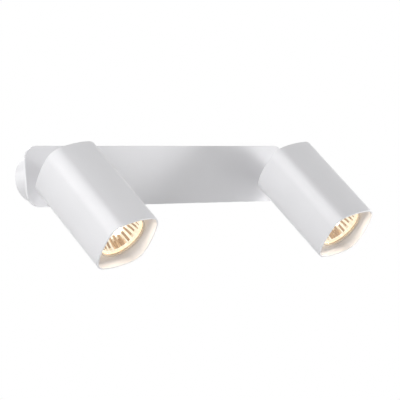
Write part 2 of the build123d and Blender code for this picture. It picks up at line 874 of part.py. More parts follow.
def make_bracket_screws(side, x):
    """Screws at the bracket's feet and under the lampholder."""
    foot_top = foot_level + bracket_sheet
    foot_shank = bracket_sheet + bracket_screw_depth - loose_clearance
    holder_shank = bracket_sheet + holder_screw_depth
    with BuildPart() as screws:
        with BuildSketch(head_plane(x, foot_top)):
            with GridLocations(2 * foot_mid, 0, 2, 1):
                Circle(bracket_screw_head)
        extrude(amount=bracket_screw_head_height)
        with BuildSketch(head_plane(x, foot_top - foot_shank)):
            with GridLocations(2 * foot_mid, 0, 2, 1):
                Circle(bracket_screw_radius)
        extrude(amount=foot_shank)
        with BuildSketch(head_plane(x, bracket_back - bracket_screw_head_height)):
            with GridLocations(0, holder_screw_spacing, 1, 2):
                Circle(bracket_screw_head)
        extrude(amount=bracket_screw_head_height)
        with BuildSketch(head_plane(x, bracket_back)):
            with GridLocations(0, holder_screw_spacing, 1, 2):
                Circle(bracket_screw_radius)
        extrude(amount=holder_shank)
    save(screws.part, f"{side}_bracket_screws")


def make_head_leads(side, x):
    """Two insulated wires from the eye of the stem to the back of the lampholder."""
    middle = (head_lead_start + bracket_back) / 2
    with BuildPart() as leads:
        for hand in (-1, 1):
            inner, outer = hand * lead_pitch / 2, hand * pin_spacing / 2
            with BuildLine() as route:
                Bezier(
                    head_point(x, inner, -hinge_drop, head_lead_start),
                    head_point(x, inner, -hinge_drop, middle),
                    head_point(x, outer, 0, middle),
                    head_point(x, outer, 0, bracket_back),
                )
                Line(
                    head_point(x, outer, 0, bracket_back),
                    head_point(x, outer, 0, holder_back + lead_entry_depth),
                )
            with BuildSketch(Plane(origin=route.line @ 0, z_dir=route.line % 0)):
                Circle(lead_radius)
            sweep(path=route.line)
    save(leads.part, f"{side}_head_leads")


def make_lamp_reflector(side, x):
    """Glass reflector: a curved bowl from the neck to the rim that holds the front glass."""
    bowl_top = lamp_front - lamp_rim_height
    lens_back = lamp_front - lens_recess - lens_thickness
    inner_rim = lamp_radius - lamp_glass
    bore = burner_radius + loose_clearance
    middle_radius = neck_radius + (lamp_radius - neck_radius) * bowl_fullness
    middle_level = (neck_top + bowl_top) / 2
    with BuildPart() as reflector:
        with BuildSketch(profile_plane(x)):
            with BuildLine():
                Line((bore, neck_top), (neck_radius, neck_top))
                ThreePointArc(
                    (neck_radius, neck_top), (middle_radius, middle_level), (lamp_radius, bowl_top)
                )
                Polyline(
                    (lamp_radius, bowl_top),
                    (lamp_radius, lamp_front),
                    (inner_rim, lamp_front),
                    (inner_rim, lens_back),
                    (inner_rim - lamp_glass, lens_back),
                )
                ThreePointArc(
                    (inner_rim - lamp_glass, lens_back),
                    (middle_radius - bowl_glass, middle_level + bowl_glass),
                    (bore, neck_top + lamp_glass),
                )
                Line((bore, neck_top + lamp_glass), (bore, neck_top))
            make_face()
        revolve(axis=lamp_axis(x))
    save(reflector.part, f"{side}_lamp_reflector")


def make_lamp_lens(side, x):
    """Front glass of the lamp, seated in the reflector's rim."""
    with BuildPart() as lens:
        with BuildSketch(head_plane(x, lamp_front - lens_recess - lens_thickness)):
            Circle(lamp_radius - lamp_glass - seat_gap)
        extrude(amount=lens_thickness)
    save(lens.part, f"{side}_lamp_lens")


def make_lamp_burner(side, x):
    """Halogen burner, a small domed capsule that stands in the lamp's base."""
    foot = neck_top - burner_socket
    shoulder = foot + burner_length - burner_radius
    with BuildPart() as burner:
        with BuildSketch(profile_plane(x)):
            with BuildLine():
                Line((0, foot), (burner_radius, foot))
                Line((burner_radius, foot), (burner_radius, shoulder))
                CenterArc((0, shoulder), burner_radius, 0, 90)
                Line((0, shoulder + burner_radius), (0, foot))
            make_face()
        revolve(axis=lamp_axis(x))
    save(burner.part, f"{side}_lamp_burner")


def make_lamp_base(side, x):
    """Ceramic base of the lamp, which carries the reflector and the pins."""
    socket = burner_radius + sheet_clearance
    with BuildPart() as base:
        with BuildSketch(profile_plane(x)):
            with BuildLine():
                Polyline(
                    (0, lamp_seat),
                    (base_foot_radius, lamp_seat),
                    (neck_radius, neck_top - base_land),
                    (neck_radius, neck_top),
                    (socket, neck_top),
                    (socket, neck_top - burner_socket),
                    (0, neck_top - burner_socket),
                    close=True,
                )
            make_face()
        revolve(axis=lamp_axis(x))
    save(base.part, f"{side}_lamp_base")


def make_lamp_pins(side, x):
    """Two headed pins under the base, which lock in the lampholder."""
    with BuildPart() as pins:
        for depth, radius, height in (
            (pin_length, pin_head_radius, pin_head_height),
            (pin_length - pin_head_height, pin_radius, pin_length - pin_head_height),
        ):
            with BuildSketch(head_plane(x, lamp_seat - depth)):
                with GridLocations(pin_spacing, 0, 2, 1):
                    Circle(radius)
            extrude(amount=height)
    save(pins.part, f"{side}_lamp_pins")


make_front_plate()
make_grub_screws()
make_plate_studs()
make_stud_nuts()
make_wiring_channel()
make_channel_cover()
make_cover_screws()
make_cable_grommet()
make_terminal_block()
make_terminal_screws()
make_earth_screw()

for side, x in sides.items():
    make_standoff_cup(side, x)
    make_wall_disc(side, x)
    make_feed_lead(side, x)
    make_stem(side, x)
    make_ring(
        f"{side}_swivel_washer",
        stem_plane(x, plate_front),
        swivel_washer_radius,
        stem_radius + sheet_clearance,
        swivel_washer_height,
    )
    make_spring_washer(side, x)
    make_stop_washer(side, x)
    make_swivel_nut(side, x)
    make_stem_leads(side, x)
    make_head_shell(side, x)
    make_back_cap(side, x)
    make_cap_screws(side, x)
    make_pivot_screws(side, x)
    make_friction_washers(side, x)
    make_lampholder(side, x)
    make_holder_contacts(side, x)
    make_holder_bracket(side, x)
    make_bracket_screws(side, x)
    make_head_leads(side, x)
    make_lamp_reflector(side, x)
    make_lamp_lens(side, x)
    make_lamp_burner(side, x)
    make_lamp_base(side, x)
    make_lamp_pins(side, x)
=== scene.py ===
"""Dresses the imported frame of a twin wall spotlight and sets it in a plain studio."""

from __future__ import annotations

import json
import logging
import math
from collections.abc import Sequence
from dataclasses import dataclass
from enum import Enum
from functools import cache
from typing import Any

import bmesh
import bpy
from mathutils import Matrix, Vector

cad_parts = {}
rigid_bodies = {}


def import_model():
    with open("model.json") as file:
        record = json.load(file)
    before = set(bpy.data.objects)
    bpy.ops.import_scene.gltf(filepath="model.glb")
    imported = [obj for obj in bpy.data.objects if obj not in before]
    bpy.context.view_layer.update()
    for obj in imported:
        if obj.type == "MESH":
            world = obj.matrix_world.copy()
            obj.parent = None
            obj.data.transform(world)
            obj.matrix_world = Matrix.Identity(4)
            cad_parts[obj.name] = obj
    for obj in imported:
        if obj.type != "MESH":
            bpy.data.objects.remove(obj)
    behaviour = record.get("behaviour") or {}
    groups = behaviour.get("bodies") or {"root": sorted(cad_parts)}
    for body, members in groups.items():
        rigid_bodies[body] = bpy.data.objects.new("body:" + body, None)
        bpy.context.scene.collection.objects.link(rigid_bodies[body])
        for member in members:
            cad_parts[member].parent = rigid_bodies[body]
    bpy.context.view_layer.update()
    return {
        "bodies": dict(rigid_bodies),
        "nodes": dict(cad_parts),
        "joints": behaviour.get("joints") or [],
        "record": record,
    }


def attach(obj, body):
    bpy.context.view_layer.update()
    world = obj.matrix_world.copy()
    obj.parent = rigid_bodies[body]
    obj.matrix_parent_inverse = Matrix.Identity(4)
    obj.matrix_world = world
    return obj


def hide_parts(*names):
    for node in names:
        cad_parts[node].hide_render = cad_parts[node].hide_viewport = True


log = logging.getLogger("spotlight")

Colour = tuple[float, float, float]
Point = tuple[float, float, float]
Pair = tuple[float, float]
Bend = tuple[Pair, Pair, Pair]

MM = 0.001
# Attribute that holds each facet's painted reflection level.
REFLECTION_ATTRIBUTE = "painted_facet_reflection"
WHITE: Colour = (1.0, 1.0, 1.0)
SHARP_ANGLE = math.radians(35.0)


class Side(Enum):
    """The two ends of the plate."""

    LEFT = "left"
    RIGHT = "right"


class Socket:
    """One output of a node tree, with arithmetic that adds Math nodes."""

    def __init__(self, graph: Graph, raw: bpy.types.NodeSocket) -> None:
        """Keep the tree and the output that this socket stands for."""
        self.graph = graph
        self.raw = raw

    def math(self, operation: str, *others: Any) -> Socket:
        """Add a Math node.

        Args:
            operation: The node's operation.
            others: The values or sockets after this one.

        Returns:
            The node's result.
        """
        values = dict(enumerate((self, *others)))
        return self.graph.node("ShaderNodeMath", values, operation=operation)

    def __add__(self, other: Any) -> Socket:
        """Add a value or socket."""
        return self.math("ADD", other)

    __radd__ = __add__

    def __mul__(self, other: Any) -> Socket:
        """Multiply by a value or socket."""
        return self.math("MULTIPLY", other)

    __rmul__ = __mul__

    def __sub__(self, other: Any) -> Socket:
        """Take a value or socket away."""
        return self.math("SUBTRACT", other)

    def __rsub__(self, other: float) -> Socket:
        """Take this socket away from a number."""
        return self.graph.node("ShaderNodeMath", {0: other, 1: self}, operation="SUBTRACT")

    def __truediv__(self, other: Any) -> Socket:
        """Divide by a value or socket."""
        return self.math("DIVIDE", other)

    def __pow__(self, other: Any) -> Socket:
        """Raise to a power."""
        return self.math("POWER", other)

    def ramp(self, low: Any, high: Any) -> Socket:
        """Return 0 below low and 1 above high, with a smooth rise between them."""
        values = {"Value": self, "From Min": low, "From Max": high}
        return self.graph.node("ShaderNodeMapRange", values, interpolation_type="SMOOTHSTEP")

    def swing(self, amount: float) -> Socket:
        """Return a field from 0 to 1 as a swing of some amount about 0."""
        return (self - 0.5) * amount


class Graph:
    """A node tree that is filled through one method."""

    def __init__(self, tree: bpy.types.NodeTree) -> None:
        """Keep the tree that nodes are added to."""
        self.tree = tree

    def feed(self, target: bpy.types.NodeSocket, value: Any) -> None:
        """Link a socket to an input, or set the input's own value.

        Args:
            target: The input.
            value: A socket, number, vector, colour or material.
        """
        if isinstance(value, Socket):
            self.tree.links.new(value.raw, target)
        elif isinstance(value, tuple) and target.type == "RGBA" and len(value) == 3:
            target.default_value = (*value, 1.0)
        else:
            target.default_value = value

    def node(
        self,
        kind: str,
        values: dict[Any, Any] | None = None,
        output: str | int = 0,
        **settings: Any,
    ) -> Socket:
        """Add a node.

        Args:
            kind: The node's type.
            values: The values or links of its inputs, by name or number.
            output: Which of its outputs is returned.
            settings: Its own properties, which are set first; stops fills a colour ramp.

        Returns:
            The chosen output.
        """
        made = self.tree.nodes.new(kind)
        for name, setting in settings.items():
            if name == "stops":
                self.fill_ramp(made.color_ramp, setting)
            else:
                setattr(made, name, setting)
        for name, value in (values or {}).items():
            self.feed(made.inputs[name], value)
        return Socket(self, made.outputs[output])

    @staticmethod
    def fill_ramp(ramp: bpy.types.ColorRamp, stops: Sequence[tuple[float, Colour]]) -> None:
        """Give a colour ramp its stops.

        Args:
            ramp: The ramp, which starts with two stops.
            stops: Place and colour of each stop, in order.
        """
        while len(ramp.elements) < len(stops):
            ramp.elements.new(1.0)
        for element, (place, colour) in zip(ramp.elements, stops):
            element.position = place
            element.color = (*colour, 1.0)

    def blend(self, share: Socket, first: Socket, second: Socket) -> Socket:
        """Return a mix of two surfaces or backgrounds."""
        return self.node("ShaderNodeMixShader", {0: share, 1: first, 2: second})

    def looking(self) -> Socket:
        """Tell what is looked at from what gives light.

        Returns:
            1 for what is seen straight, in a gloss or through glass, and 0 for light.
        """
        rays = self.tree.nodes.new("ShaderNodeLightPath")
        kinds = ("Is Camera Ray", "Is Glossy Ray", "Is Transmission Ray")
        seen, glossy, through = (Socket(self, rays.outputs[kind]) for kind in kinds)
        return seen.math("MAXIMUM", glossy).math("MAXIMUM", through)


class Shader(Graph):
    """The node tree of one material."""

    def __init__(self, name: str) -> None:
        """Start a material with an empty tree.

        Args:
            name: The material's name.
        """
        self.material = bpy.data.materials.new(name)
        self.material.use_nodes = True
        super().__init__(self.material.node_tree)
        self.tree.nodes.clear()
        self.out = self.tree.nodes.new("ShaderNodeOutputMaterial")
        self.place = self.node("ShaderNodeTexCoord", output="Object")

    def noise(self, scale: float, octaves: float, stretch: Point | None = None) -> Socket:
        """Return a noise field in object coordinates.

        Args:
            scale: Waves in a metre.
            octaves: How many finer waves there are.
            stretch: Scale along each axis, for a pattern that runs one way.

        Returns:
            A value from 0 to 1.
        """
        place = self.place
        if stretch:
            place = self.node("ShaderNodeMapping", {"Vector": place, "Scale": stretch})
        values = {"Vector": place, "Scale": scale, "Detail": octaves}
        return self.node("ShaderNodeTexNoise", values)

    def mix(self, share: Any, first: Any, second: Any) -> Socket:
        """Return a colour between two colours."""
        return self.node("ShaderNodeMix", {0: share, 6: first, 7: second}, 2, data_type="RGBA")

    def bump(self, height: Socket, depth: float, strength: float) -> Socket:
        """Return a normal raised by a height field of some depth in metres."""
        values = {"Height": height, "Distance": depth, "Strength": strength}
        return self.node("ShaderNodeBump", values)

    def principled(self, values: dict[str, Any]) -> Socket:
        """Return a Principled surface with these sockets."""
        return self.node("ShaderNodeBsdfPrincipled", values)

    def close(self, surface: Socket) -> bpy.types.Material:
        """Use a surface as the material's result and return the material."""
        self.tree.links.new(surface.raw, self.out.inputs["Surface"])
        return self.material


class GeometryTree(Graph):
    """A Geometry Nodes tree whose result is taken as a plain mesh."""

    def __init__(self, name: str) -> None:
        """Start an empty tree.

        Args:
            name: The tree's name.
        """
        super().__init__(bpy.data.node_groups.new(name, "GeometryNodeTree"))
        self.name = name
        self.sizes: dict[str, float | int] = {}
        self.given = self.tree.nodes.new("NodeGroupInput")
        self.tree.interface.new_socket(
            "Geometry", in_out="OUTPUT", socket_type="NodeSocketGeometry"
        )
        self.out = self.tree.nodes.new("NodeGroupOutput")

    def size(self, name: str, value: float | int) -> Socket:
        """Add a named input.

        Args:
            name: The input's name.
            value: What the mesh is made with.

        Returns:
            The input inside the tree.
        """
        kind = "NodeSocketInt" if isinstance(value, int) else "NodeSocketFloat"
        made = self.tree.interface.new_socket(name, in_out="INPUT", socket_type=kind)
        self.sizes[made.identifier] = value
        return Socket(self, self.given.outputs[name])

    def vector(self, x: Any, y: Any, z: Any) -> Socket:
        """Return a vector made of three values or sockets."""
        return self.node("ShaderNodeCombineXYZ", {"X": x, "Y": y, "Z": z})

    def place(self) -> tuple[Socket, Socket, Socket]:
        """Read where each point is.

        Returns:
            The three parts of its position.
        """
        found = self.node("GeometryNodeInputPosition")
        parts = self.node("ShaderNodeSeparateXYZ", {"Vector": found}).raw.node
        return tuple(Socket(self, out) for out in parts.outputs)

    def random(self, index: Socket, seed: int) -> Socket:
        """Return a number from 0 to 1 that depends on a whole number alone."""
        values = {"ID": index, "Seed": seed}
        return self.node("FunctionNodeRandomValue", values, 1, data_type="FLOAT")

    def join(self, *shapes: Socket) -> Socket:
        """Put several shapes together.

        Args:
            shapes: The shapes.

        Returns:
            One shape.
        """
        joined = self.tree.nodes.new("GeometryNodeJoinGeometry")
        for shape in shapes:
            self.tree.links.new(shape.raw, joined.inputs[0])
        return Socket(self, joined.outputs[0])

    def lift(self, shape: Socket, height: Any) -> Socket:
        """Return a shape moved along z."""
        step = self.vector(0.0, 0.0, height)
        return self.node("GeometryNodeTransform", {"Geometry": shape, "Translation": step})

    def reshape(self, shape: Socket, place: Socket) -> Socket:
        """Return a shape with its points at new places."""
        return self.node("GeometryNodeSetPosition", {"Geometry": shape, "Position": place})

    def weld(self, shape: Socket, reach: float) -> Socket:
        """Return a shape whose points within reach of each other are one."""
        return self.node("GeometryNodeMergeByDistance", {"Geometry": shape, "Distance": reach})

    def close(self, shape: Socket, finish: Finish) -> bpy.types.Mesh:
        """Take the tree's result.

        Args:
            shape: What the tree makes.
            finish: The finish that it is given.

        Returns:
            A plain mesh.
        """
        real = self.node("GeometryNodeRealizeInstances", {"Geometry": shape})
        dressed = self.node(
            "GeometryNodeSetMaterial", {"Geometry": real, "Material": finish.material()}
        )
        self.tree.links.new(dressed.raw, self.out.inputs["Geometry"])
        start = bpy.data.meshes.new(self.name)
        holder = bpy.data.objects.new(self.name, start)
        link(holder)
        modifier = holder.modifiers.new(self.name, "NODES")
        modifier.node_group = self.tree
        for identifier, value in self.sizes.items():
            modifier[identifier] = value
        seen = holder.evaluated_get(bpy.context.evaluated_depsgraph_get())
        mesh = bpy.data.meshes.new_from_object(seen)
        bpy.data.objects.remove(holder)
        bpy.data.meshes.remove(start)
        return mesh


@dataclass(frozen=True)
class Finish:
    """A procedural material that is built once and shared."""

    name: str

    @cache
    def material(self) -> bpy.types.Material:
        """Return the material, which is built on its first use."""
        shader = Shader(self.name)
        return shader.close(self.surface(shader))

    def surface(self, shader: Shader) -> Socket:
        """Fill the material's tree and return its surface."""
        raise NotImplementedError


@dataclass(frozen=True)
class PowderCoat(Finish):
    """Satin powder coat with a fine orange peel and a faint cloud in its colour."""

    colour: Colour
    shade: Colour
    roughness: float
    gloss: float
    gloss_roughness: float
    refraction: float = 1.5
    octaves: float = 3.0
    peel_scale: float = 620.0
    peel_depth: float = 0.000045
    peel_strength: float = 0.55
    peel_dulling: float = 0.10
    cloud_scale: float = 14.0
    cloud_range: Pair = (0.35, 0.7)
    cloud_dulling: float = 0.06

    def surface(self, shader: Shader) -> Socket:
        """Fill the material's tree.

        Args:
            shader: The empty tree.

        Returns:
            The surface.
        """
        peel = shader.noise(self.peel_scale, self.octaves)
        cloud = shader.noise(self.cloud_scale, self.octaves)
        dulling = cloud.swing(self.cloud_dulling) + peel.swing(self.peel_dulling)
        return shader.principled({
            "Base Color": shader.mix(cloud.ramp(*self.cloud_range), self.colour, self.shade),
            "Roughness": self.roughness + dulling,
            "IOR": self.refraction,
            "Coat Weight": self.gloss,
            "Coat Roughness": self.gloss_roughness,
            "Normal": shader.bump(peel, self.peel_depth, self.peel_strength),
        })


@dataclass(frozen=True)
class PlatedMetal(Finish):
    """Bright plated or turned metal with faint drawing lines and a cloudy bloom."""

    colour: Colour
    bloom: Colour
    roughness: float = 0.30
    bloom_scale: float = 90.0
    bloom_octaves: float = 4.0
    bloom_range: Pair = (0.38, 0.68)
    bloom_dulling: float = 0.16
    line_scale: float = 900.0
    line_octaves: float = 2.0
    line_stretch: Point = (0.05, 1.0, 1.0)
    line_dulling: float = 0.10
    line_depth: float = 0.00002
    line_strength: float = 0.35

    def surface(self, shader: Shader) -> Socket:
        """Fill the material's tree.

        Args:
            shader: The empty tree.

        Returns:
            The surface.
        """
        cloud = shader.noise(self.bloom_scale, self.bloom_octaves)
        lines = shader.noise(self.line_scale, self.line_octaves, self.line_stretch)
        dulling = cloud.swing(self.bloom_dulling) + lines.swing(self.line_dulling)
        return shader.principled({
            "Base Color": shader.mix(cloud.ramp(*self.bloom_range), self.colour, self.bloom),
            "Metallic": 1.0,
            "Roughness": self.roughness + dulling,
            "Normal": shader.bump(lines, self.line_depth, self.line_strength),
        })


@dataclass(frozen=True)
class Moulded(Finish):
    """Moulded nylon, rubber, silicone or glazed ceramic, with its own grain."""

    colour: Colour
    fleck: Colour
    roughness: float
    grain_scale: float = 700.0
    grain_depth: float = 0.00004
    grain_strength: float = 0.5
    grain_dulling: float = 0.14
    octaves: float = 3.0
    fleck_share: float = 0.16
    fleck_from: float = 0.55
    fleck_to: float = 0.8
    coat: float = 0.0
    coat_roughness: float = 0.12

    def surface(self, shader: Shader) -> Socket:
        """Fill the material's tree.

        Args:
            shader: The empty tree.

        Returns:
            The surface.
        """
        grain = shader.noise(self.grain_scale, self.octaves)
        cloud = shader.noise(self.grain_scale * self.fleck_share, self.octaves)
        share = cloud.ramp(self.fleck_from, self.fleck_to)
        return shader.principled({
            "Base Color": shader.mix(share, self.colour, self.fleck),
            "Roughness": self.roughness + grain.swing(self.grain_dulling),
            "Coat Weight": self.coat,
            "Coat Roughness": self.coat_roughness,
            "Normal": shader.bump(grain, self.grain_depth, self.grain_strength),
        })


@dataclass(frozen=True)
class ClearGlass(Finish):
    """Clear glass that lets what is behind it show, with gloss at grazing angles."""

    tint: Colour
    gloss: float = 0.025
    edge_gloss: float = 0.6
    edge_power: float = 4.0
    facing: float = 0.5
    roughness: float = 0.04
    smear_scale: float = 120.0
    smear_octaves: float = 2.0
    smear_dulling: float = 0.05

    def surface(self, shader: Shader) -> Socket:
        """Fill the material's tree.

        Args:
            shader: The empty tree.

        Returns:
            The surface.
        """
        edge = shader.node("ShaderNodeLayerWeight", {"Blend": self.facing}, "Facing")
        smear = shader.noise(self.smear_scale, self.smear_octaves)
        clear = shader.node("ShaderNodeBsdfTransparent", {"Color": self.tint})
        gloss = shader.principled({
            "Base Color": self.tint,
            "Metallic": 1.0,
            "Roughness": self.roughness + smear * self.smear_dulling,
        })
        share = edge ** self.edge_power * self.edge_gloss + self.gloss
        return shader.blend(share, clear, gloss)


@dataclass(frozen=True)
class PaintedReflectionMirror(Finish):
    """Mirror coat of the lit reflector: each facet glows with its own painted reflection of the
    burner.
    """

    silver: Colour
    stops: tuple[tuple[float, Colour], ...]
    glow: float
    roughness: float = 0.16
    reflection_dulling: float = 0.08

    def surface(self, shader: Shader) -> Socket:
        """Fill the material's tree.

        Args:
            shader: The empty tree.

        Returns:
            The surface.
        """
        # The stored level picks a painted reflection colour, which the facet emits.
        tone = shader.node("ShaderNodeAttribute", output="Fac", attribute_name=REFLECTION_ATTRIBUTE)
        colour = shader.node("ShaderNodeValToRGB", {"Fac": tone}, stops=self.stops)
        return shader.principled({
            "Base Color": self.silver,
            "Metallic": 1.0,
            "Roughness": self.roughness + tone * self.reflection_dulling,
            "Emission Color": colour,
            "Emission Strength": self.glow,
        })


@dataclass(frozen=True)
class Glow(Finish):
    """Something white-hot, or the glass that is filled with its light."""

    colour: Colour
    edge: Colour
    strength: float
    body: float = 1.0
    roughness: float = 0.2
    cloud_scale: float = 500.0
    cloud_octaves: float = 2.0
    cloud_range: Pair = (0.3, 0.7)
    cloud_dulling: float = 0.1

    def surface(self, shader: Shader) -> Socket:
        """Fill the material's tree.

        Args:
            shader: The empty tree.

        Returns:
            The surface.
        """
        cloud = shader.noise(self.cloud_scale, self.cloud_octaves)
        colour = shader.mix(cloud.ramp(*self.cloud_range), self.colour, self.edge)
        return shader.principled({
            "Base Color": colour,
            "Roughness": self.roughness + cloud * self.cloud_dulling,
            "Alpha": self.body,
            "Emission Color": colour,
            "Emission Strength": self.strength,
        })


@dataclass(frozen=True)
class PaleFloor(Finish):
    """Matt floor that takes the object's shadow, turns white far out and is clear from below."""

    colour: Colour
    lift: float
    near: float = 0.7
    far: float = 1.9
    roughness: float = 0.8

    def surface(self, shader: Shader) -> Socket:
        """Fill the material's tree.

        Args:
            shader: The empty tree.

        Returns:
            The surface.
        """
        out = shader.node("ShaderNodeVectorMath", {0: shader.place}, "Value", operation="LENGTH")
        share = shader.looking() * (self.lift + out.ramp(self.near, self.far) * (1.0 - self.lift))
        matt = shader.principled({"Base Color": self.colour, "Roughness": self.roughness})
        pale = shader.node("ShaderNodeEmission", {"Color": WHITE})
        below = shader.node("ShaderNodeNewGeometry", output="Backfacing")
        clear = shader.node("ShaderNodeBsdfTransparent")
        return shader.blend(below, shader.blend(share, matt, pale), clear)


FLOOR = PaleFloor("pale_floor", (0.80, 0.80, 0.80), 0.72)
PLATE_COAT = PowderCoat(
    "plate_powder_coat", (0.802, 0.80, 0.818), (0.777, 0.775, 0.794),
    roughness=0.44, gloss=1.0, gloss_roughness=0.15,
)
HEAD_COAT = PowderCoat(
    "head_powder_coat", (0.802, 0.80, 0.818), (0.782, 0.78, 0.798),
    roughness=0.44, gloss=0.35, gloss_roughness=0.36,
)
ZINC = PlatedMetal("zinc_plate", (0.60, 0.61, 0.63), (0.68, 0.67, 0.60))
BRASS = PlatedMetal("turned_brass", (0.70, 0.52, 0.22), (0.62, 0.43, 0.17), 0.26)
NICKEL = PlatedMetal("nickel_pins", (0.72, 0.70, 0.66), (0.66, 0.63, 0.58), 0.18)
NYLON = Moulded("nylon", (0.82, 0.82, 0.79), (0.76, 0.76, 0.72), 0.45)
RUBBER = Moulded("grommet_rubber", (0.030, 0.030, 0.031), (0.055, 0.053, 0.052), 0.62)
SLEEVE = Moulded("silicone_sleeve", (0.76, 0.74, 0.70), (0.68, 0.65, 0.60), 0.48, 1200.0)
CERAMIC = Moulded(
    "ceramic", (0.82, 0.80, 0.75), (0.60, 0.55, 0.47), 0.42,
    grain_scale=420.0, grain_depth=0.00003, fleck_from=0.62, coat=0.35,
)
LENS_GLASS = ClearGlass("lens_glass", (1.0, 0.985, 0.95))
BOWL_GLASS = Moulded(
    "bowl_glass", (0.80, 0.72, 0.58), (0.66, 0.56, 0.42), 0.22,
    grain_scale=260.0, grain_depth=0.00003, fleck_from=0.5, coat=0.5,
)
LIT_BOWL = Glow("lit_bowl_glass", (0.90, 0.77, 0.60), (0.80, 0.66, 0.50), 0.75)
# The rim glass glows: a painted glow of the lamp's light caught in the rim.
LIT_RIM_GLASS = Glow("rim_glass", (0.50, 0.43, 0.35), (0.42, 0.35, 0.28), 0.20)
# Emission stops from dark brown to white are painted reflections of the burner; the dark base
# colour keeps real reflections faint.
PAINTED_REFLECTION_MIRROR = PaintedReflectionMirror(
    "mirror_with_painted_reflections",
    (0.07, 0.06, 0.05),
    (
        (0.0, (0.07, 0.05, 0.034)),
        (0.3, (0.28, 0.135, 0.045)),
        (0.5, (0.45, 0.28, 0.14)),
        (0.72, (0.71, 0.62, 0.46)),
        (0.9, (0.77, 0.72, 0.60)),
        (1.0, (1.0, 0.98, 0.92)),
    ),
    1.25,
)
BURNER_GLASS = Glow("burner_glass", (1.0, 0.96, 0.86), (1.0, 0.93, 0.78), 3.0, 0.6)
FILAMENT = Glow("filament", (1.0, 0.93, 0.76), (1.0, 0.88, 0.66), 12.0)

CAD_FINISHES: dict[Finish, tuple[str, ...]] = {
    PLATE_COAT: ("front_plate", "standoff_cup", "wiring_channel", "channel_cover", "stem"),
    HEAD_COAT: ("head_shell", "back_cap"),
    ZINC: (
        "wall_disc", "grub_screws", "plate_studs", "stud_nuts", "cover_screws", "spring_washer",
        "stop_washer", "swivel_nut", "cap_screws", "pivot_screws", "holder_bracket",
        "bracket_screws",
    ),
    BRASS: ("earth_screw", "terminal_screws", "holder_contacts"),
    NICKEL: ("lamp_pins",),
    NYLON: ("terminal_block", "swivel_washer", "friction_washers"),
    RUBBER: ("cable_grommet",),
    SLEEVE: ("feed_lead", "stem_leads", "head_leads"),
    CERAMIC: ("lampholder", "lamp_base"),
    BOWL_GLASS: ("lamp_reflector",),
    LENS_GLASS: ("lamp_lens",),
    BURNER_GLASS: ("lamp_burner",),
}


def link(thing: bpy.types.Object) -> None:
    """Put an object in the scene."""
    bpy.context.scene.collection.objects.link(thing)


def dress_cad(nodes: dict[str, bpy.types.Object]) -> None:
    """Give every CAD node its finish.

    Args:
        nodes: The nodes by name.
    """
    starts = ("", *(f"{side.value}_" for side in Side))
    finish_of = {
        start + name: finish
        for finish, names in CAD_FINISHES.items() for name in names for start in starts
    }
    for name, node in nodes.items():
        node.data.materials.clear()
        node.data.materials.append(finish_of[name].material())


def arc(bend: Bend, count: int) -> list[Pair]:
    """Return points along the arc through three points.

    Args:
        bend: The first point, one on the way and the last.
        count: How many steps there are.

    Returns:
        The points, with both ends.
    """
    centre, radius, first, span = circle(bend)
    angles = [first + span * step / count for step in range(count + 1)]
    return [(centre[0] + radius * math.cos(a), centre[1] + radius * math.sin(a)) for a in angles]


def circle(bend: Bend) -> tuple[Pair, float, float, float]:
    """Find the arc through three points.

    Args:
        bend: The first point, one on the way and the last.

    Returns:
        The centre, the radius, the first angle and the span.
    """
    (ax, ay), (bx, by), (cx, cy) = bend
    scale = 2 * (ax * (by - cy) + bx * (cy - ay) + cx * (ay - by))
    a, b, c = ax * ax + ay * ay, bx * bx + by * by, cx * cx + cy * cy
    x = (a * (by - cy) + b * (cy - ay) + c * (ay - by)) / scale
    y = (a * (cx - bx) + b * (ax - cx) + c * (bx - ax)) / scale
    first, half, last = (math.atan2(q - y, p - x) for p, q in bend)
    span = (last - first) % math.tau
    if (half - first) % math.tau > span:
        span -= math.tau
    return (x, y), math.hypot(ax - x, ay - y), first, span


def lathe(name: str, profile: Sequence[Pair], steps: int, finish: Finish) -> bpy.types.Mesh:
    """Turn a closed outline about the z axis.

    Args:
        name: The mesh's name.
        profile: Radius and height of each corner; a radius of 0 makes a pole.
        steps: Faces around the axis.
        finish: What it is made of.

    Returns:
        A closed mesh.
    """
    shape = bmesh.new()
    rings = []
    for radius, height in profile:
        around = steps if radius else 1
        turns = [math.tau * step / steps for step in range(around)]
        rings.append([
            shape.verts.new((radius * math.cos(a), radius * math.sin(a), height)) for a in turns
        ])
    for lower, upper in zip(rings, rings[1:] + rings[:1]):
        for step in range(steps):
            after = (step + 1) % steps
            corners = [
                lower[step % len(lower)], lower[after % len(lower)],
                upper[after % len(upper)], upper[step % len(upper)],
            ]
            corners = list(dict.fromkeys(corners))
            if len(corners) > 2:
                shape.faces.new(corners)
    bmesh.ops.recalc_face_normals(shape, faces=shape.faces)
    mesh = bpy.data.meshes.new(name)
    shape.to_mesh(mesh)
    shape.free()
    mesh.shade_smooth()
    mesh.set_sharp_from_angle(angle=SHARP_ANGLE)
    mesh.materials.append(finish.material())
    return mesh


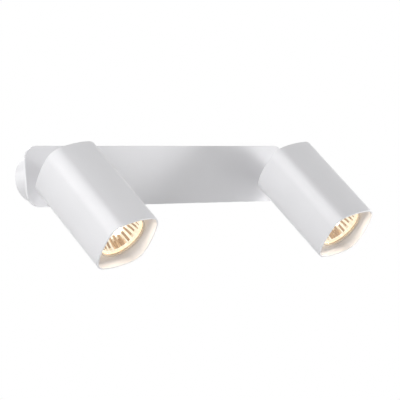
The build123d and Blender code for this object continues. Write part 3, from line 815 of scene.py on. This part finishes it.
@dataclass(frozen=True)
class Head:
    """Where one head stands: its axis is z, its hinge is along x."""

    side: Side
    frame: dict[str, Any]

    def joint(self, name: str) -> dict[str, Any]:
        """Return one of this side's joints."""
        wanted = f"{self.side.value}_{name}"
        return next(joint for joint in self.frame["joints"] if joint["name"] == wanted)

    def carrier(self, name: str) -> bpy.types.Object:
        """Return the empty that one of this side's bodies moves with."""
        return self.frame["bodies"][f"{self.side.value}_{name}"]

    def place(self) -> Matrix:
        """Find where the head stands.

        Returns:
            The way from millimetres on the head's axis to the shared frame.
        """
        twist = self.joint("lamp_twist")
        along, across = Vector(twist["axis"]), Vector(self.joint("tilt")["axis"])
        turn = Matrix((across, along.cross(across), along)).transposed().to_4x4()
        return Matrix.Translation(twist["pos_m"]) @ turn @ Matrix.Scale(MM, 4)

    def add(self, name: str, mesh: bpy.types.Mesh, body: str, material: str, *nodes: str) -> None:
        """Add a piece of this head.

        Args:
            name: The piece's name, without the side.
            mesh: Its mesh, in millimetres about the head's axis.
            body: The body that it rides on, without the side.
            material: The record's material slot; not used.
            nodes: The CAD nodes that it stands for, without the side.
        """
        side = self.side.value
        mesh.transform(self.place())
        piece = bpy.data.objects.new(f"{side}_{name}", mesh)
        link(piece)
        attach(piece, f"{side}_{body}")
        if nodes:
            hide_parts(*(f"{side}_{node}" for node in nodes))
        log.info("%s: %d faces", piece.name, len(mesh.polygons))


@dataclass(frozen=True)
class PaintedFacetReflections:
    """Painted reflections of the burner in the lit mirror's facets; levels run from 0 at the neck
    to 1 at the rim.
    """

    cream: float = 0.94
    scatter: float = 0.14
    bar_columns: float = 1.5
    bar_least: float = 0.55
    bar_spread: float = 0.30
    bar_depth: float = 0.80
    bar_rise: Pair = (0.44, 0.54)
    bar_end: float = 0.82
    bar_end_spread: float = 0.08
    bar_fade: float = 0.08
    dark_reflection_turn: float = 296.0
    dark_reflection_sides: Pair = (14.0, 22.0)
    dark_reflection_rise: Pair = (0.58, 0.66)
    dark_reflection_fade: Pair = (0.89, 0.94)
    dark_reflection_depth: float = 0.50
    dark_reflection_scatter: float = 0.30
    line_column: float = 3.0
    line_match: float = 0.4
    line_chance: Pair = (0.6, 0.8)
    line_lift: float = 0.30
    middle_fade: Pair = (0.36, 0.46)
    middle_depth: float = 0.14
    middle_scatter: float = 0.26
    edge_level: float = 0.93
    edge_tone: float = 0.88
    glare_fade: Pair = (0.46, 0.60)
    glare_lift: float = 0.4
    flute_stride: float = 97.0
    column_stride: float = 11.0
    bar_seed: int = 11
    end_seed: int = 23
    cell_seed: int = 5

    def tone(
        self, tree: GeometryTree, around: Socket, climb: Socket,
        sectors: Socket, columns: Socket, rings: Socket,
    ) -> Socket:
        """Say how brightly each facet shows the burner, as a painted reflection.

        Args:
            tree: The mirror's tree.
            around: Place around the bowl, from 0 to 1.
            climb: Place from the neck to the rim, from 0 to 1.
            sectors: How many flutes there are.
            columns: Facets across a flute.
            rings: Facets from the neck to the rim.

        Returns:
            A painted reflection level from 0, which is dark brown, to 1 and above, which is
            white-hot painted glare.
        """
        flute = (around * sectors).math("FLOOR")
        column = ((around * sectors).math("FRACT") * columns).math("FLOOR")
        ring = (climb * rings).math("FLOOR")
        chance, reach = tree.random(flute, self.bar_seed), tree.random(flute, self.end_seed)
        index = flute * self.flute_stride + column * self.column_stride + ring
        cell = tree.random(index, self.cell_seed)
        # Dark bars along some flutes: painted dark streaks in the reflection.
        end = self.bar_end + reach * self.bar_end_spread
        bar = column.math("LESS_THAN", self.bar_columns)
        bar = bar * (self.bar_least + chance * self.bar_spread)
        long = climb.ramp(*self.bar_rise) * (1.0 - climb.ramp(end, end + self.bar_fade))
        # Darker towards the neck: painted shade in the reflection.
        neck_darkening = 1.0 - climb.ramp(*self.middle_fade)
        tone = self.cream - cell * self.scatter - bar * long * self.bar_depth
        tone = tone - neck_darkening * (self.middle_depth + cell * self.middle_scatter)
        # Lighter lines on some flutes inside the dark reflection: painted highlights.
        line = column.math("COMPARE", self.line_column, self.line_match)
        line = line * chance.ramp(*self.line_chance)
        # Dark reflection of the capsule's foot, painted low on one side of the bowl.
        away = (around - self.dark_reflection_turn / 360.0).math("ABSOLUTE") * 360.0
        low = climb.ramp(*self.dark_reflection_rise) * (1.0 - climb.ramp(*self.dark_reflection_fade))
        dark_reflection = (1.0 - away.ramp(*self.dark_reflection_sides)) * low
        shade = self.dark_reflection_depth + cell * self.dark_reflection_scatter - line * self.line_lift
        tone = tone.math("MINIMUM", 1.0 - dark_reflection * shade)
        # Cream ring at the rim: painted reflection.
        tone = tone.math("MAXIMUM", climb.math("GREATER_THAN", self.edge_level) * self.edge_tone)
        # White painted glare of the burner, between the neck and the middle.
        burner_glare = (1.0 - neck_darkening) * (1.0 - climb.ramp(*self.glare_fade))
        return tone + burner_glare * self.glare_lift


@dataclass(frozen=True)
class ReflectorLamp:
    """Lit reflector lamp: glass bowl, faceted mirror, front glass, capsule and coil."""

    neck_level: float = 66.5
    neck_radius: float = 12.5
    bore_radius: float = 4.8
    belly_share: float = 0.72
    rim_radius: float = 25.0
    rim_level: float = 91.5
    rim_round: float = 0.5
    rim_ease: float = 0.15
    front_level: float = 94.5
    glass: float = 1.6
    belly_glass: float = 1.9
    rim_glass: float = 3.2
    lens_back: float = 92.2
    lens_front: float = 94.2
    lens_radius: float = 23.35
    lens_gap: float = 0.05
    lens_dome: float = 0.5
    lens_edge: float = 0.3
    lens_chamfer: float = 0.2
    lens_rings: int = 6
    seat_round: float = 0.4
    seat_ease: float = 0.1
    rim_glow_from: float = 0.1
    wall_steps: int = 14
    sectors: int = 26
    columns: int = 4
    rings: int = 12
    flute: float = 0.45
    flute_at_neck: float = 0.3
    coat: float = 0.1
    weld: float = 0.001
    painted_reflections: PaintedFacetReflections = PaintedFacetReflections()
    capsule_radius: float = 4.4
    capsule_foot: float = 60.5
    capsule_round: float = 0.4
    capsule_top: float = 89.5
    capsule_shoulder: float = 5.2
    capsule_dome: float = 4.2
    capsule_step: float = 12.0
    capsule_rings: int = 7
    capsule_tip: tuple[Pair, ...] = ((0.85, 0.9), (0.7, 0.35), (0.4, 0.05), (0.0, 0.0))
    capsule_around: int = 32
    coil_radius: float = 1.0
    coil_length: float = 6.5
    coil_turns: float = 9.0
    coil_steps: int = 14
    coil_level: float = 76.0
    coil_foot: float = 62.0
    post_aside: float = -1.9
    wire: float = 0.17
    wire_sides: int = 8
    around: int = 96
    shine_watts: float = 0.014
    shine_spread: float = 177.0
    shine_colour: Colour = (1.0, 0.86, 0.70)
    shine_margin: float = 1.0
    shine_gap: float = 0.4

    def build(self, head: Head) -> None:
        """Add the lamp's pieces.

        Args:
            head: The head that the lamp sits in.
        """
        head.add("bowl", self.bowl(), "lamp", "mirror_glass", "lamp_reflector")
        head.add("mirror", self.mirror(), "lamp", "mirror_glass")
        head.add("front_glass", self.front_glass(), "lamp", "clear_glass", "lamp_lens")
        head.add("capsule", self.capsule(), "lamp", "burner_glass", "lamp_burner")
        head.add("coil", self.coil(), "lamp", "burner_glass")
        self.shine(head)

    def belly(self) -> Pair:
        """Return the point halfway up the bowl's outer wall."""
        reach = (self.rim_radius - self.neck_radius) * self.belly_share
        return self.neck_radius + reach, (self.neck_level + self.rim_level) / 2

    def inner_wall(self) -> Bend:
        """Find the bowl's inner wall.

        Returns:
            Three points of it, from the neck to the rim.
        """
        middle, level = self.belly()
        return (
            (self.bore_radius, self.neck_level + self.glass),
            (middle - self.belly_glass, level + self.belly_glass),
            (self.rim_radius - self.rim_glass, self.lens_back),
        )

    def bowl(self) -> bpy.types.Mesh:
        """Make the pressed glass bowl with its rolled rim.

        Returns:
            A closed mesh with two materials.
        """
        neck, edge = (self.neck_radius, self.neck_level), (self.rim_radius, self.rim_level)
        outer = arc((neck, self.belly(), edge), self.wall_steps)
        inner = arc(self.inner_wall(), self.wall_steps)
        front, rim, seat = self.front_level, self.rim_radius, self.lens_radius + self.lens_gap
        lip = [
            (rim, front - self.rim_round), (rim - self.rim_ease, front - self.rim_ease),
            (rim - self.rim_round, front), (seat + self.seat_round, front),
            (seat + self.seat_ease, front - self.seat_ease), (seat, front - self.seat_round),
            (seat, self.lens_back),
        ]
        profile = [(self.bore_radius, self.neck_level), *outer, *lip, *inner[::-1]]
        mesh = lathe("bowl", profile, self.around, LIT_BOWL)
        mesh.materials.append(LIT_RIM_GLASS.material())
        # Faces at the rim take the glass with the painted glow.
        for face in mesh.polygons:
            face.material_index = int(face.center.z > self.lens_back + self.rim_glow_from)
        return mesh

    def mirror(self) -> bpy.types.Mesh:
        """Make the faceted mirror coat, with the painted reflection level of each facet.

        Returns:
            A thin closed shell in front of the bowl's inner wall.
        """
        tree = GeometryTree("mirror_facets")
        sectors = tree.size("Sectors", self.sectors)
        columns = tree.size("Columns in a sector", self.columns)
        rings = tree.size("Rings", self.rings)
        flute = tree.size("Flute depth", self.flute)
        thick = tree.size("Thickness", self.coat)
        grid = tree.node("GeometryNodeMeshGrid", {
            "Size X": 1.0, "Size Y": 1.0,
            "Vertices X": sectors * columns + 1.0, "Vertices Y": rings + 1.0,
        })
        x, y, _ = tree.place()
        around, climb = x + 0.5, y + 0.5
        # Each face stores its painted reflection level for the mirror's emission.
        tone = self.painted_reflections.tone(tree, around, climb, sectors, columns, rings)
        values = {"Geometry": grid, "Name": REFLECTION_ATTRIBUTE, "Value": tone}
        toned = tree.node(
            "GeometryNodeStoreNamedAttribute", values, data_type="FLOAT", domain="FACE"
        )
        centre, radius, first, span = circle(self.inner_wall())
        turn, angle = around * math.tau, climb * span + first
        growth = climb * (1.0 - self.flute_at_neck) + self.flute_at_neck
        dip = (turn * sectors * 0.5).math("SINE").math("ABSOLUTE") * flute * growth
        depth = (radius - 2 * self.coat) - dip
        reach = angle.math("COSINE") * depth + centre[0]
        bent = tree.reshape(toned, tree.vector(
            turn.math("COSINE") * reach, turn.math("SINE") * reach,
            angle.math("SINE") * depth + centre[1],
        ))
        sewn = tree.weld(bent, self.weld)
        values = {"Mesh": sewn, "Offset Scale": thick, "Individual": False}
        back = tree.node("GeometryNodeExtrudeMesh", values, mode="FACES")
        front = tree.node("GeometryNodeFlipFaces", {"Mesh": sewn})
        return tree.close(tree.weld(tree.join(front, back), self.weld), PAINTED_REFLECTION_MIRROR)

    def front_glass(self) -> bpy.types.Mesh:
        """Make the slightly domed front glass.

        Returns:
            A closed mesh.
        """
        radius, shoulder = self.lens_radius, self.lens_front - self.lens_dome
        shares = [1 - step / self.lens_rings for step in range(1, self.lens_rings + 1)]
        dome = [(radius * part, shoulder + self.lens_dome * (1 - part ** 2)) for part in shares]
        profile = [
            (0.0, self.lens_back),
            (radius - self.lens_chamfer, self.lens_back),
            (radius, self.lens_back + self.lens_chamfer),
            (radius, shoulder - self.lens_edge),
            (radius - self.lens_edge, shoulder),
            *dome,
        ]
        return lathe("front_glass", profile, self.around, LENS_GLASS)

    def capsule(self) -> bpy.types.Mesh:
        """Make the burner's glass capsule with its sealed tip.

        Returns:
            A closed mesh.
        """
        radius, foot, top = self.capsule_radius, self.capsule_foot, self.capsule_top
        angles = [math.radians(self.capsule_step * ring) for ring in range(self.capsule_rings)]
        shoulder = top - self.capsule_shoulder
        dome = [(radius * math.cos(a), shoulder + self.capsule_dome * math.sin(a)) for a in angles]
        tip = [(out, top - down) for out, down in self.capsule_tip]
        profile = [
            (0.0, foot), (radius - self.capsule_round, foot),
            (radius, foot + self.capsule_round), *dome, *tip,
        ]
        return lathe("capsule", profile, self.capsule_around, BURNER_GLASS)

    def coil(self) -> bpy.types.Mesh:
        """Make the coiled filament and the wires that hold it.

        Returns:
            A mesh of round wires with closed ends.
        """
        tree = GeometryTree("filament_coil")
        radius = tree.size("Coil radius", self.coil_radius)
        length = tree.size("Coil length", self.coil_length)
        turns = tree.size("Turns", self.coil_turns)
        wire = tree.size("Wire radius", self.wire)
        foot = tree.size("Foot level", self.coil_foot)
        low = tree.size("Coil level", self.coil_level)
        spiral = tree.node("GeometryNodeCurveSpiral", {
            "Resolution": self.coil_steps, "Rotations": turns, "Start Radius": radius,
            "End Radius": radius, "Height": length,
        })
        raised = tree.lift(spiral, low)
        aside, high = radius * self.post_aside, low + length
        ends = (
            (tree.vector(radius, 0.0, foot), tree.vector(radius, 0.0, low)),
            (tree.vector(aside, 0.0, foot), tree.vector(aside, 0.0, high)),
            (tree.vector(aside, 0.0, high), tree.vector(radius, 0.0, high)),
        )
        holders = [
            tree.node("GeometryNodeCurvePrimitiveLine", {"Start": start, "End": end})
            for start, end in ends
        ]
        section = tree.node(
            "GeometryNodeCurvePrimitiveCircle", {"Resolution": self.wire_sides, "Radius": wire}
        )
        drawn = tree.node("GeometryNodeCurveToMesh", {
            "Curve": tree.join(raised, *holders), "Profile Curve": section, "Fill Caps": True,
        })
        return tree.close(drawn, FILAMENT)

    def shine(self, head: Head) -> None:
        """Light the inside of the shell from the front glass.

        Args:
            head: The head that the lamp sits in.
        """
        data = bpy.data.lights.new(f"{head.side.value}_lamp_light", "AREA")
        data.shape = "DISK"
        data.size = 2 * (self.lens_radius - self.shine_margin) * MM
        data.energy = self.shine_watts
        data.spread = math.radians(self.shine_spread)
        data.color = self.shine_colour
        light = bpy.data.objects.new(data.name, data)
        light.parent = head.carrier("lamp")
        light.visible_camera = False
        lift = Matrix.Translation((0, 0, self.front_level + self.shine_gap))
        place = head.place() @ lift @ Matrix.Rotation(math.pi, 4, "X")
        light.matrix_world = Matrix.LocRotScale(place.to_translation(), place.to_quaternion(), None)
        link(light)


@dataclass(frozen=True)
class CapScrews:
    """Slotted pan head screws, one at each corner of a head's back cap."""

    spacing: float = 42.6
    seat: float = -3.4
    head_radius: float = 2.7
    head_height: float = 1.8
    head_sides: int = 28
    head_steps: int = 5
    head_rings: int = 3
    crown: float = 0.35
    shoulder_from: float = 0.45
    shoulder_round: float = 0.30
    shank_radius: float = 1.2
    shank_length: float = 7.0
    shank_sides: int = 14
    slot_width: float = 0.7
    slot_depth: float = 0.9
    slot_reach: float = 2.4
    slot_turn: float = 20.0

    def build(self, head: Head) -> None:
        """Add the screws to a head."""
        head.add("cap_screw_set", self.screws(), "head", "zinc_steel", "cap_screws")

    def screws(self) -> bpy.types.Mesh:
        """Make the four screws, with their heads towards the back.

        Returns:
            One mesh.
        """
        tree = GeometryTree("cap_screws")
        spacing = tree.size("Spacing", self.spacing)
        places = tree.node("GeometryNodeMeshGrid", {
            "Size X": spacing, "Size Y": spacing, "Vertices X": 2, "Vertices Y": 2,
        })
        screw = tree.join(self.pan_head(tree), self.shank(tree))
        turned = tree.node("GeometryNodeInstanceOnPoints", {
            "Points": places, "Instance": screw,
            "Rotation": (math.pi, 0.0, math.radians(self.slot_turn)),
        })
        return tree.close(tree.lift(turned, self.seat), ZINC)

    def pan_head(self, tree: GeometryTree) -> Socket:
        """Make one domed head that stands on z = 0, with its slot.

        Args:
            tree: The screws' tree.

        Returns:
            The head.
        """
        radius = tree.size("Head radius", self.head_radius)
        height = tree.size("Head height", self.head_height)
        blank = tree.node("GeometryNodeMeshCylinder", {
            "Vertices": self.head_sides, "Side Segments": self.head_steps,
            "Fill Segments": self.head_rings, "Radius": radius, "Depth": height,
        })
        x, y, z = tree.place()
        out = (x * x + y * y).math("SQRT") / radius
        rise = z / height + 0.5
        crown = rise * (1.0 - out * out * self.crown)
        shoulder = (rise - self.shoulder_from).math("MAXIMUM", 0.0)
        shrink = 1.0 - shoulder ** 2.0 * self.shoulder_round
        domed = tree.reshape(blank, tree.vector(x * shrink, y * shrink, crown * height))
        width = tree.size("Slot width", self.slot_width)
        depth = tree.size("Slot depth", self.slot_depth)
        bar = tree.node("GeometryNodeMeshCube", {
            "Size": tree.vector(radius * self.slot_reach, width, depth * 2.0),
        })
        raised = tree.lift(bar, height)
        return tree.node("GeometryNodeMeshBoolean", {0: domed, 1: raised}, operation="DIFFERENCE")

    def shank(self, tree: GeometryTree) -> Socket:
        """Make the shank below a head.

        Args:
            tree: The screws' tree.

        Returns:
            The shank.
        """
        length = tree.size("Shank length", self.shank_length)
        rod = tree.node("GeometryNodeMeshCylinder", {
            "Vertices": self.shank_sides, "Radius": self.shank_radius, "Depth": length,
        })
        return tree.lift(rod, length * -0.5)


@dataclass(frozen=True)
class SoftBox:
    """A square soft light; its place and width are in metres."""

    name: str
    place: Point
    width: float
    watts: float

    def hang(self, aim: Point) -> None:
        """Add the light.

        Args:
            aim: The point that it faces.
        """
        data = bpy.data.lights.new(self.name, "AREA")
        data.shape = "SQUARE"
        data.size = self.width
        data.energy = self.watts
        light = bpy.data.objects.new(self.name, data)
        light.location = self.place
        turn = (Vector(aim) - Vector(self.place)).to_track_quat("-Z", "Y")
        light.rotation_euler = turn.to_euler()
        light.visible_camera = False
        link(light)


SOFT_BOXES = (
    SoftBox("key_light", (-2.85, -0.80, 0.49), 1.2, 8.8),
    SoftBox("front_light", (-1.23, -1.07, -0.03), 0.6, 6.4),
    SoftBox("top_light", (-1.03, -0.90, 1.46), 0.8, 9.6),
    SoftBox("high_light", (-2.37, -0.68, 1.69), 1.2, 8.9),
    SoftBox("side_light", (-1.92, 0.47, 0.84), 0.9, 8.2),
    SoftBox("rim_light", (-2.01, 1.37, 1.69), 1.2, 2.6),
    SoftBox("back_light", (-1.48, 2.52, 0.49), 1.2, 4.5),
    SoftBox("plate_light", (1.11, -0.71, -0.12), 0.26, 7.0),
    SoftBox("right_light", (1.55, -0.45, -0.03), 0.6, 6.2),
    SoftBox("right_fill", (1.58, 0.24, -0.03), 0.6, 2.8),
    SoftBox("back_fill", (0.20, 1.90, 0.60), 1.2, 9.0),
)


@dataclass(frozen=True)
class Studio:
    """Floor, lights and camera."""

    focal_px: float = 1753.741
    frame_px: float = 400.0
    sensor_mm: float = 36.0
    azimuth: float = -40.264
    elevation: float = -3.379
    roll: float = -4.329
    distance: float = 1805.79
    target: Point = (45.314, -24.0, -26.581)
    clip_end: float = 50.0
    floor_level: float = -600.0
    floor_width: float = 4000.0
    aim: Point = (0.0, -0.04, -0.03)
    ambient: float = 0.10

    def build(self) -> None:
        """Make the floor, the world, the lights and the camera."""
        self.make_floor()
        self.make_world()
        for box in SOFT_BOXES:
            box.hang(self.aim)
        self.make_camera()

    def make_floor(self) -> None:
        """Lay a plain pale floor below the light."""
        mesh = bpy.data.meshes.new("studio_floor")
        shape = bmesh.new()
        bmesh.ops.create_grid(shape, x_segments=1, y_segments=1, size=self.floor_width * MM / 2)
        shape.to_mesh(mesh)
        shape.free()
        mesh.transform(Matrix.Translation((0, 0, self.floor_level * MM)))
        floor = bpy.data.objects.new("studio_floor", mesh)
        link(floor)
        mesh.materials.append(FLOOR.material())

    def make_world(self) -> None:
        """Fill the room with even light and show white behind the object."""
        world = bpy.data.worlds.new("studio_world")
        world.use_nodes = True
        graph = Graph(world.node_tree)
        graph.tree.nodes.clear()
        light, white = (
            graph.node("ShaderNodeBackground", {"Color": WHITE, "Strength": strength})
            for strength in (self.ambient, 1.0)
        )
        out = graph.tree.nodes.new("ShaderNodeOutputWorld")
        sky = graph.blend(graph.looking(), light, white)
        graph.tree.links.new(sky.raw, out.inputs["Surface"])
        bpy.context.scene.world = world

    def make_camera(self) -> None:
        """Set the camera where the photograph was taken from."""
        a, e, r = (math.radians(x) for x in (self.azimuth, self.elevation, self.roll))
        back = Vector((math.sin(a) * math.cos(e), -math.cos(a) * math.cos(e), math.sin(e)))
        level = Vector((math.cos(a), math.sin(a), 0.0))
        upright = back.cross(level)
        right = level * math.cos(r) + upright * math.sin(r)
        up = upright * math.cos(r) - level * math.sin(r)
        data = bpy.data.cameras.new("photo_camera")
        data.sensor_fit = "HORIZONTAL"
        data.sensor_width = self.sensor_mm
        data.lens = self.focal_px * self.sensor_mm / self.frame_px
        data.clip_end = self.clip_end
        camera = bpy.data.objects.new("photo_camera", data)
        turn = Matrix((right, up, back)).transposed().to_4x4()
        place = (Vector(self.target) + back * self.distance) * MM
        camera.matrix_world = Matrix.Translation(place) @ turn
        link(camera)
        bpy.context.scene.camera = camera


def main() -> None:
    """Load the frame, dress it, build the lamps and set the studio."""
    logging.basicConfig(level=logging.INFO, format="%(name)s: %(message)s")
    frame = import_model()
    bpy.context.scene.view_settings.view_transform = "Standard"
    dress_cad(frame["nodes"])
    for side in Side:
        head = Head(side, frame)
        ReflectorLamp().build(head)
        CapScrews().build(head)
    Studio().build()
    log.info("dressed %d nodes", len(frame["nodes"]))


if __name__ == "__main__":
    main()
